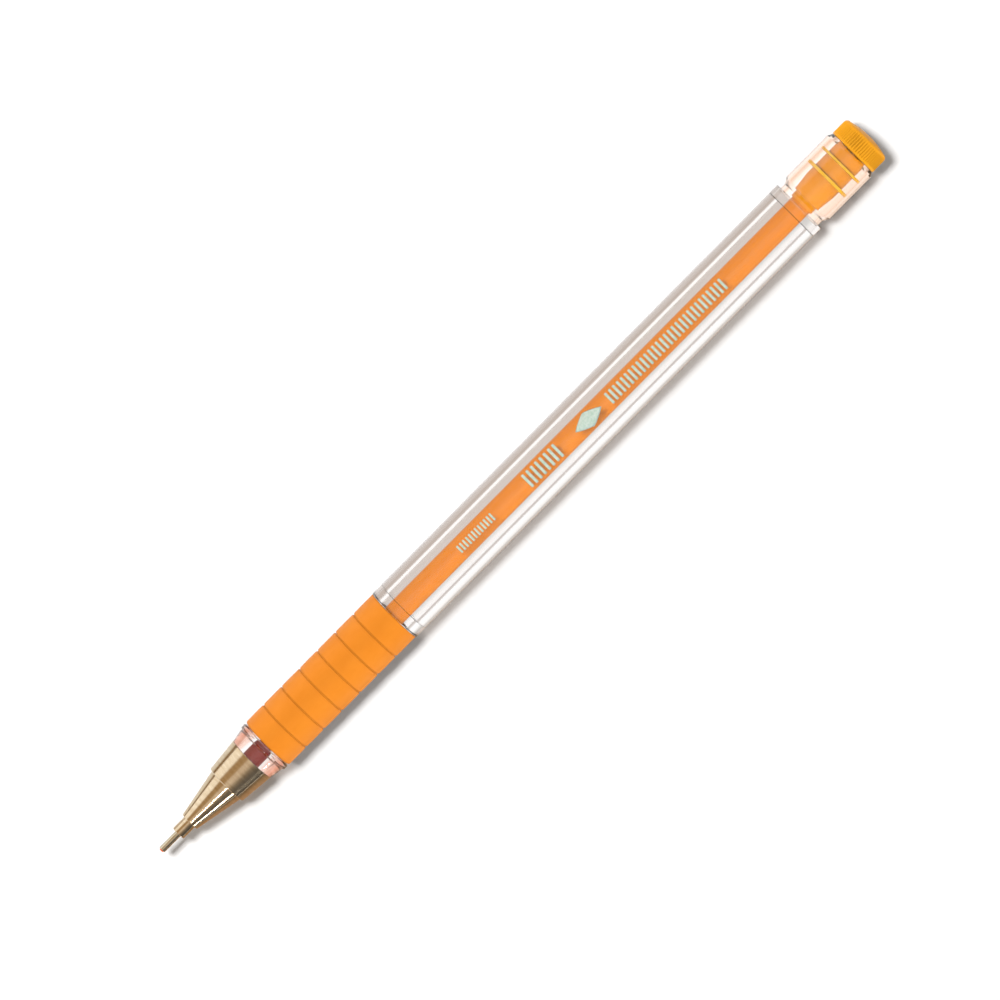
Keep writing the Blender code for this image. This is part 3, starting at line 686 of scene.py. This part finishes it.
def makeRetainer():
    way = leadRadius + nearly
    corners = [
        (retainerFront, way, crispEdge), (retainerFront, retainerRadius, softEdge),
        (retainerRear, retainerRadius, softEdge), (retainerRear, way, crispEdge)]
    mesh = turned("leadRetainer", rounded(corners), 64)
    addPiece("leadRetainer", mesh, sealRubber, "retainer_unit", "seal_rubber", "lead_retainer")


makeCone()
makeBush()
makePipe()
makeLeads()
makeRetainer()
print("nose made")


chuck = {"stem": 0.85 * mm, "way": 0.38 * mm, "neck": 1.00 * mm, "neckLength": 0.2 * mm,
         # the slots end at a share of the spring's length. A slot's floor is as wide as the first share of
         # its width, and whatever lies within the second share of it is cut
         "slots": 3, "slotWidth": 0.22 * mm, "web": 0.03 * mm, "slotRear": 0.70, "wall": (0.9, 0.95),
         "jawPoints": 27}


def makeChuck():
    # a slot is cut by letting the outside fall to a thin web over the lead's way, between two close angles
    slotEnd = springFront + (springRear - springFront) * chuck["slotRear"]
    half = chuck["slotWidth"] / 2 / chuckRadius
    top, apart = math.pi / 2, fullTurn / chuck["slots"]
    foot, brink = (half * share for share in chuck["wall"])
    oneJaw = np.concatenate([[-foot, 0, foot], np.linspace(half, apart - half, chuck["jawPoints"])])
    angles = (top + np.arange(chuck["slots"])[:, None] * apart + oneJaw).ravel()

    def cutSlots(x, angle, radius):
        off = np.abs((angle - top + apart / 2) % apart - apart / 2)
        inside = (off < brink) & (x < slotEnd) & (radius > chuck["way"] + nearly)
        return np.where(inside, np.minimum(radius, chuck["way"] + chuck["web"]), radius)

    corners = [
        (chuckFront, chuck["way"], keenEdge),
        (chuckFront, chuckRadius, roundEdge),
        (ringFront, chuckRadius, bluntEdge),
        (ringRear - chuck["neckLength"], chuck["neck"], easedEdge),
        (ringRear, chuck["stem"], easedEdge),
        (slotEnd - nearly, chuck["stem"], 0),
        (slotEnd + nearly, chuck["stem"], 0),
        (chuckRear, chuck["stem"], softEdge),
        (chuckRear, chuck["way"], 0)]
    mesh = turned("chuckJaws", rounded(corners), wave=cutSlots, angles=angles)
    addPiece("chuckJaws", mesh, brightBrass, "push_unit", "turned_brass", "chuck")


def makeClutchRing():
    bore = chuck["neck"] + gap
    corners = [
        (ringFront, chuckRadius + gap, crispEdge),
        (ringFront, ringRadius, broadEdge),
        (ringRear, ringRadius, broadEdge),
        (ringRear, bore, crispEdge),
        (ringRear - chuck["neckLength"], bore, crispEdge)]
    mesh = turned("clutchRing", rounded(corners), 96)
    addPiece("clutchRing", mesh, brightBrass, "clutch_ring_unit", "turned_brass", "clutch_ring")


clutch = {"front": 1.88 * mm, "frontLength": 0.74 * mm, "flangeWidth": 0.58 * mm, "radius": 2.28 * mm,
          "bore": 1.76 * mm, "stemHole": 1.12 * mm}


def makeClutchSleeve():
    flange = clutchFront + clutch["frontLength"]
    flangeEnd, seat = flange + clutch["flangeWidth"], springFront - gap
    corners = [
        (clutchFront, clutch["stemHole"], crispEdge),
        (clutchFront, clutch["front"], easedEdge),
        (flange, clutch["front"], 0),
        (flange, clutchFlange, easedEdge),
        (flangeEnd, clutchFlange, easedEdge),
        (flangeEnd, clutch["radius"], keenEdge),
        (clutchRear, clutch["radius"], easedEdge),
        (clutchRear, clutch["bore"], easedEdge),
        (seat, clutch["bore"], 0),
        (seat, clutch["stemHole"], 0)]
    mesh = turned("clutchSleeve", rounded(corners), 96)
    addPiece("clutchSleeve", mesh, brightBrass, "barrel_unit", "turned_brass", "clutch_sleeve")


spring = {"wire": 0.15 * mm, "turns": 5.5, "flatTurns": 0.8, "flattest": 0.35, "pointsPerTurn": 40,
          "sides": 12, "travel": 1.2 * mm}


def makeSpring():
    # a helix (x, radius cos(turn), radius sin(turn)) whose pitch grows over the first turn and falls over the
    # last, so that its ends lie nearly flat
    count = int(spring["turns"] * spring["pointsPerTurn"])
    share = np.linspace(0, 1, count)
    turn = share * spring["turns"]
    pitch = np.clip(np.minimum(turn, spring["turns"] - turn) / spring["flatTurns"], spring["flattest"], 1)
    along = np.concatenate([[0], np.cumsum((pitch[1:] + pitch[:-1]) / 2)])
    length = springRear - springFront
    x = springFront + spring["wire"] + (length - 2 * spring["wire"]) * along / along[-1]
    radius = springRadius - spring["wire"]
    path = np.stack([x, radius * np.cos(turn * fullTurn), axisHeight + radius * np.sin(turn * fullTurn)], -1)
    mesh = swept("chuckSpring", path, spring["wire"], spring["sides"])
    piece = addPiece("chuckSpring", mesh, wireSteel, "barrel_unit", "spring_steel", "chuck_spring")
    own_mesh(piece)


connector = {"stemBore": 0.87 * mm, "chamfer": 0.35 * mm, "neckLength": 3.0 * mm, "neck": 1.13 * mm,
             "lip": 0.2 * mm, "funnel": 0.8 * mm, "way": 0.40 * mm}


def makeConnector():
    bodyEnd, stemEnd = connectorRear - connector["neckLength"], chuckRear + gap
    corners = [
        (connectorFront, connector["stemBore"], fineEdge),
        (connectorFront, connectorRadius, softEdge),
        (bodyEnd - connector["chamfer"], connectorRadius, bluntEdge),
        (bodyEnd, connectorRadius - connector["chamfer"], crispEdge),
        (bodyEnd, connector["neck"], keenEdge),
        (connectorRear, connector["neck"], softEdge),
        (connectorRear, connector["neck"] - connector["lip"], keenEdge),
        (connectorRear - connector["funnel"], connector["way"], crispEdge),
        (stemEnd, connector["way"], 0),
        (stemEnd, connector["stemBore"], 0)]
    mesh = turned("stemConnector", rounded(corners), 128)
    addPiece("stemConnector", mesh, connectorPlastic, "push_unit", "dark_red_plastic", "connector")


makeChuck()
makeClutchRing()
makeClutchSleeve()
makeSpring()
makeConnector()
print("clutch made")


def makeTube():
    bore = connector["neck"] + closeGap
    corners = [
        (tubeFront, bore, easedEdge), (tubeFront, tubeRadius, broadEdge),
        (tubeRear, tubeRadius, crispEdge), (tubeRear, bore, crispEdge)]
    mesh = turned("leadTube", rounded(corners), 128)
    addPiece("leadTube", mesh, tubePlastic, "push_unit", "orange_plastic", "lead_tube")


plug = {"neck": 2.01 * mm, "neckLength": 1.20 * mm, "front": 2.34 * mm, "radius": 2.69 * mm,
        "taper": 2.8 * mm, "taperRound": 0.4 * mm, "eraserBore": 2.00 * mm, "throat": 0.95 * mm,
        # how far behind the plug's front each ring's middle lies, and how wide the ring is
        "rings": ((5.48 * mm, 0.50 * mm), (8.28 * mm, 0.40 * mm))}


def makePlug():
    socket, neckEnd = tubeRadius + closeGap, plugFront + plug["neckLength"]
    eraserEnd, tubeEnd = eraserFront - gap, tubeRear + gap
    corners = [
        (plugFront, socket, keenEdge),
        (plugFront, plug["neck"], softEdge),
        (neckEnd, plug["neck"], crispEdge),
        (neckEnd, plug["front"], bluntEdge),
        (neckEnd + plug["taper"], plug["radius"], plug["taperRound"])]
    for offset, width in plug["rings"]:
        start, finish = plugFront + offset - width / 2, plugFront + offset + width / 2
        corners += [
            (start, plug["radius"], easedEdge),
            (start, plugRings, softEdge),
            (finish, plugRings, softEdge),
            (finish, plug["radius"], easedEdge)]
    corners += [
        (plugRear, plug["radius"], broadEdge),
        (plugRear, plug["eraserBore"], softEdge),
        (eraserEnd, plug["eraserBore"], crispEdge),
        (eraserEnd, plug["throat"], crispEdge),
        (tubeEnd, plug["throat"], 0),
        (tubeEnd, socket, 0)]
    mesh = turned("tubePlug", rounded(corners), 160)
    addPiece("tubePlug", mesh, plugPlastic, "push_unit", "orange_plastic", "tube_socket")


sleeve = {"neck": 3.90 * mm, "neckBore": 3.30 * mm, "neckSeen": 0.88 * mm, "chamfer": 0.92 * mm,
          "wall": 0.60 * mm, "bodyRound": 0.45 * mm, "boreRound": 0.40 * mm, "bevel": 0.75 * mm,
          "bevelRound": 0.18 * mm, "rearEdge": 0.19 * mm}


def makeSleeve():
    chamferStart = barrelRear + sleeve["neckSeen"]
    bodyStart = chamferStart + sleeve["chamfer"]
    bore = sleeveRadius - sleeve["wall"]
    corners = [
        (neckFront, sleeve["neckBore"], easedEdge),
        (neckFront, sleeve["neck"], broadEdge),
        (chamferStart, sleeve["neck"], broadEdge),
        (bodyStart, sleeveRadius, sleeve["bodyRound"]),
        (sleeveRear - sleeve["bevel"], sleeveRadius, sleeve["bevelRound"]),
        (sleeveRear, bore + sleeve["rearEdge"], crispEdge),
        (sleeveRear, bore, crispEdge),
        (bodyStart, bore, sleeve["boreRound"]),
        (chamferStart, sleeve["neckBore"], broadEdge)]
    mesh = turned("buttonSleeve", rounded(corners), 192)
    addPiece("buttonSleeve", mesh, clearSleeve, "push_unit", "clear_plastic", "button_sleeve")


crown = {"ribs": 60, "sidesPerRib": 12, "ribDepth": 0.22 * mm, "ribGap": 0.17, "rearRing": 0.30 * mm,
         "frontRing": 0.32 * mm, "frontFade": 0.12 * mm, "rearFade": 0.45 * mm, "ribbedFrom": 0.9,
         "stem": 1.95 * mm, "face": 0.06 * mm, "corner": 0.72 * mm, "dome": 0.45 * mm,
         "sideMargin": 0.2 * mm, "sideRoom": 1.05, "sidePoints": 14, "cornerPoints": 8, "domePoints": 12}


def makeCrown():
    # narrow grooves between flat ribs, which run out at a plain ring in front and at the corner behind
    face = sleeveRear + crown["face"]
    sideEnd = crownRear - crown["dome"]
    corner, cornerFront = crown["corner"], sideEnd - crown["corner"]
    domeRadius = crownRadius - corner

    def cutRibs(x, angle, radius):
        # radius - depth * exp(-at^2 / 2 gap^2), where at is how far a groove's middle is, as a share of a rib
        at = (angle * crown["ribs"] / fullTurn) % 1.0 - 0.5
        groove = np.exp(-(at / crown["ribGap"]) ** 2 / 2)
        front = np.clip((x - face - crown["frontRing"]) / crown["frontFade"], 0, 1)
        rear = np.clip((sideEnd - crown["rearRing"] - x) / crown["rearFade"], 0, 1)
        onSide = radius > crownRadius * crown["ribbedFrom"]
        return radius - crown["ribDepth"] * groove * front * rear * onSide

    side = np.linspace(face + crown["sideMargin"], sideEnd - corner * crown["sideRoom"], crown["sidePoints"])
    turns = np.radians(np.linspace(80, 8, crown["cornerPoints"]))
    shares = np.linspace(0.98, 0.06, crown["domePoints"])
    corners = [
        (stemFront, 0, 0), (stemFront, crown["stem"], bluntEdge), (face, crown["stem"], crispEdge),
        (face, crownRadius, bluntEdge)]
    corners += [(x, crownRadius, 0) for x in side]
    corners += [(cornerFront + corner * math.cos(turn), domeRadius + corner * math.sin(turn), 0)
                for turn in turns]
    corners += [(crownRear - crown["dome"] * share ** 2, domeRadius * share, 0) for share in shares]
    corners += [(crownRear, 0, 0)]
    mesh = turned("crownCap", rounded(corners), crown["ribs"] * crown["sidesPerRib"], cutRibs)
    addPiece("crownCap", mesh, crownPlastic, "crown_unit", "orange_plastic", "crown")


def makeEraser():
    corners = [
        (eraserFront, 0, 0), (eraserFront, eraserRadius, wideEdge),
        (eraserRear, eraserRadius, wideEdge), (eraserRear, 0, 0)]
    mesh = turned("eraserStick", rounded(corners), 64)
    addPiece("eraserStick", mesh, eraserVinyl, "eraser_unit", "eraser_rubber", "eraser")


makeTube()
makePlug()
makeSleeve()
makeCrown()
makeEraser()
print("button made")


studio = {
    "floorSize": 6.0, "floor": "#FFFFFF", "floorDrop": 0.004 * mm, "backdrop": "#FFFFFF",
    # how bright and how warm the room is for gloss, by tilt from overhead in degrees: -90 is the -Y horizon.
    # A colour ramp stops at 1, so it holds a share of the brightness, and matt surfaces get less of it again
    "rampShare": 0.5, "diffuseShare": 0.34, "warmGreen": 0.3, "warmBlue": 0.6,
    "vault": ((-90, 0.10, 0), (-67, 0.12, 0), (-48, 0.17, 0.2), (-30, 0.30, 0.5), (-17, 0.56, 0.5),
              (-6, 0.84, 0.4),
              (6, 0.82, 0.4), (15, 0.52, 1), (40, 0.50, 1), (49, 1.30, 0), (90, 1.40, 0)),
    # how bright the table looks through clear plastic, by Y in mm: the shade that light from behind leaves
    "underlay": ((-24, "#C8C0BB"), (-13, "#C8C0BB"), (-10, "#FFFFFF"), (-5, "#FFFFFF"), (-4, "#F4F4F2"),
                 (-3, "#D0D0CD"), (-1, "#BDB7B2"), (0, "#C2B7AF"), (9.0, "#BBB0A8"), (12.5, "#F8F5F2"),
                 (24, "#F8F5F2")),
    # the same painted shade and light, as seen through the clear nose and through the button's sleeve
    "noseUnderlay": ((-24, "#F4E9E4"), (-9, "#F4E9E4"), (-6, "#FFFFFF"), (-3, "#F0E4DE"), (0, "#FBF4F0"),
                     (4, "#FFFFFF"), (9, "#E6DAD4"), (24, "#FFFFFF")),
    "sleeveUnderlay": ((-24, "#FFF6EE"), (-8, "#FFF6EE"), (-6.5, "#E6D2C4"), (-5, "#FFFFFF"), (-3, "#FFEEE2"),
                       (0, "#FFF2E8"), (4, "#FFFFFF"), (5.5, "#E6D2C4"), (7, "#FFFFFF"), (12, "#FBEADF"),
                       (24, "#FFFFFF")),
    "underlayStrength": 1.15, "underlayLift": 0.002 * mm,
    # how bright the table looks in polished metal, by Y in mm: shade in front, and its far edge behind
    "gleam": ((-150, "#8C7A66"), (-32, "#8C7A66"), (-12, "#BC9C7C"), (-3, "#BC9C7C"), (2, "#FFFFFF"),
              (15, "#FFFFFF"), (26, "#9A8264"), (110, "#9A8264"), (150, "#FFFFFF")),
    "gleamStrength": 1.0, "gleamLift": 0.003 * mm, "cardMargin": 30 * mm}


def addPlane(name, low, high, height):
    mesh = bpy.data.meshes.new(name)
    (left, near), (right, far) = low, high
    corners = [(left, near, height), (right, near, height), (right, far, height), (left, far, height)]
    mesh.from_pydata(corners, [], [(0, 1, 2, 3)])
    plane = bpy.data.objects.new(name, mesh)
    bpy.context.scene.collection.objects.link(plane)
    return plane


def makeFloor():
    half, height = studio["floorSize"] / 2, axisHeight - barrelRadius - studio["floorDrop"]
    material, _, _ = newFinish("paleCard", {
        "Base Color": linear(studio["floor"]), "Roughness": 0.9, "Specular IOR Level": 0.0})
    addPlane("studioFloor", (-half, -half), (half, half), height).data.materials.append(material)
    return height


def addCard(name, stops, strength, front, rear, height, rays):
    # a glowing card just over the floor that only one kind of ray sees, bright or dark by Y
    reach = stops[-1][0] * mm
    card = addPlane(name, (front, -reach), (rear, reach), height)
    material = bpy.data.materials.new(name)
    material.use_nodes = True
    tree = material.node_tree
    tree.nodes.remove(tree.nodes["Principled BSDF"])
    across = addSpread(tree, addCoordinates(tree)["Y"], -reach, reach)
    tone = addRamp(tree, across, [(0.5 + 0.5 * y * mm / reach, linear(colour)) for y, colour in stops])
    glow = addNode(tree, "ShaderNodeEmission", {"Strength": strength}, {"Color": tone})
    tree.links.new(glow.outputs["Emission"], tree.nodes["Material Output"].inputs["Surface"])
    card.data.materials.append(material)
    card.visible_camera = card.visible_diffuse = card.visible_shadow = False
    card.visible_transmission, card.visible_glossy = rays == "transmission", rays == "glossy"


# each lamp's place in metres, width and length, watts, and whether matt or glossy surfaces get its light
lamps = {
    "keyLight": ((-0.10, 0.33, 1.10), (0.24, 0.24), 11.5, "matt"),
    "fillLight": ((0.10, -1.10, 0.14), (0.50, 0.24), 9.5, "matt"),
    "glintLight": ((-0.56, -0.30, 0.95), (0.05, 0.05), 0.50, "glossy"),
    "lowGlintLight": ((-0.48, -0.97, 0.34), (0.07, 0.07), 0.60, "glossy")}


def addSoftbox(name, place, size, watts, surfaces):
    # a rectangle of light that faces the pencil's middle
    lamp = bpy.data.lights.new(name, "AREA")
    lamp.shape = "RECTANGLE"
    lamp.size, lamp.size_y = size
    lamp.energy = watts
    box = bpy.data.objects.new(name, lamp)
    box.location = place
    towards = Vector((0, 0, axisHeight)) - Vector(place)
    box.rotation_euler = towards.to_track_quat("-Z", "Y").to_euler()
    box.visible_camera = box.visible_transmission = False
    box.visible_diffuse, box.visible_glossy = surfaces == "matt", surfaces == "glossy"
    bpy.context.scene.collection.objects.link(box)


def makeWorld():
    # a vault of soft light along the pencil, brighter on the +Y side; what the camera sees of it, straight or
    # through clear plastic, is plain
    world = bpy.data.worlds.new("studio")
    world.use_nodes = True
    tree = world.node_tree
    background = tree.nodes["Background"]
    place = addCoordinates(tree, "Generated")
    tilt = addNode(tree, "ShaderNodeMath", {"operation": "ARCTAN2"}, {0: place["Y"], 1: place["Z"]})
    share = addSpread(tree, tilt.outputs["Value"], -math.pi / 2, math.pi / 2)
    stops = []
    for degrees, bright, warm in studio["vault"]:
        level = bright * studio["rampShare"]
        colour = (level, level * (1 - studio["warmGreen"] * warm), level * (1 - studio["warmBlue"] * warm), 1)
        stops.append((0.5 + degrees / 180, colour))
    path, scattered = addScattered(tree)
    full = 1 / studio["rampShare"]
    strength = addSpread(tree, scattered, 0.0, 1.0, full, full * studio["diffuseShare"])
    tree.links.new(addRamp(tree, share, stops), background.inputs["Color"])
    tree.links.new(strength, background.inputs["Strength"])
    plain = addNode(tree, "ShaderNodeBackground", {"Color": linear(studio["backdrop"])})
    direct = addNode(tree, "ShaderNodeMath", {"operation": "MAXIMUM"},
                     {0: path["Is Camera Ray"], 1: path["Is Transmission Ray"]})
    unscattered = addNode(tree, "ShaderNodeMath", {"operation": "SUBTRACT", "use_clamp": True},
                          {0: direct.outputs["Value"], 1: scattered})
    seen = addNode(tree, "ShaderNodeMixShader", links={
        0: unscattered.outputs["Value"], 1: background.outputs["Background"], 2: plain.outputs["Background"]})
    tree.links.new(seen.outputs["Shader"], tree.nodes["World Output"].inputs["Surface"])
    bpy.context.scene.world = world
    bpy.context.scene.view_settings.view_transform = "Standard"


view = {"distance": 1.2, "footShare": 0.85, "tilt": 45.3, "lens": 291.0, "sensor": 36.0, "clip": (0.05, 20),
        "right": 2.17 * mm, "up": 0.92 * mm}


def makeCamera():
    # high above the rear of the barrel, rolled so that the pencil climbs to the right
    length = cadBox[1][0] - cadBox[0][0]
    tilt = math.radians(view["tilt"])
    right, up = Vector((math.cos(tilt), -math.sin(tilt), 0)), Vector((math.sin(tilt), math.cos(tilt), 0))
    place = Vector((cadBox[0][0] + view["footShare"] * length, 0, view["distance"]))
    target = Vector((0, 0, axisHeight)) - right * view["right"] - up * view["up"]
    forward = (target - place).normalized()
    upward = (up - forward * up.dot(forward)).normalized()
    sideways = forward.cross(upward)
    lens = bpy.data.cameras.new("camera")
    lens.lens, lens.sensor_width = view["lens"], view["sensor"]
    lens.clip_start, lens.clip_end = view["clip"]
    camera = bpy.data.objects.new("camera", lens)
    camera.matrix_world = Matrix((sideways, upward, -forward)).transposed().to_4x4()
    camera.location = place
    bpy.context.scene.collection.objects.link(camera)
    bpy.context.scene.camera = camera


def makeCards(floorHeight):
    front, rear = cadBox[0][0] - studio["cardMargin"], cadBox[1][0] + studio["cardMargin"]
    lifted = floorHeight + studio["underlayLift"]
    for name, stops, first, last in (
            ("noseCard", "noseUnderlay", front, gripFront),
            ("shadeCard", "underlay", gripFront, barrelRear),
            ("sleeveCard", "sleeveUnderlay", barrelRear, rear)):
        addCard(name, studio[stops], studio["underlayStrength"], first, last, lifted, "transmission")
    addCard("gleamCard", studio["gleam"], studio["gleamStrength"], front, rear,
            floorHeight + studio["gleamLift"], "glossy")


makeCards(makeFloor())
makeWorld()
for name, settings in lamps.items():
    addSoftbox(name, *settings)
makeCamera()
print("studio made")
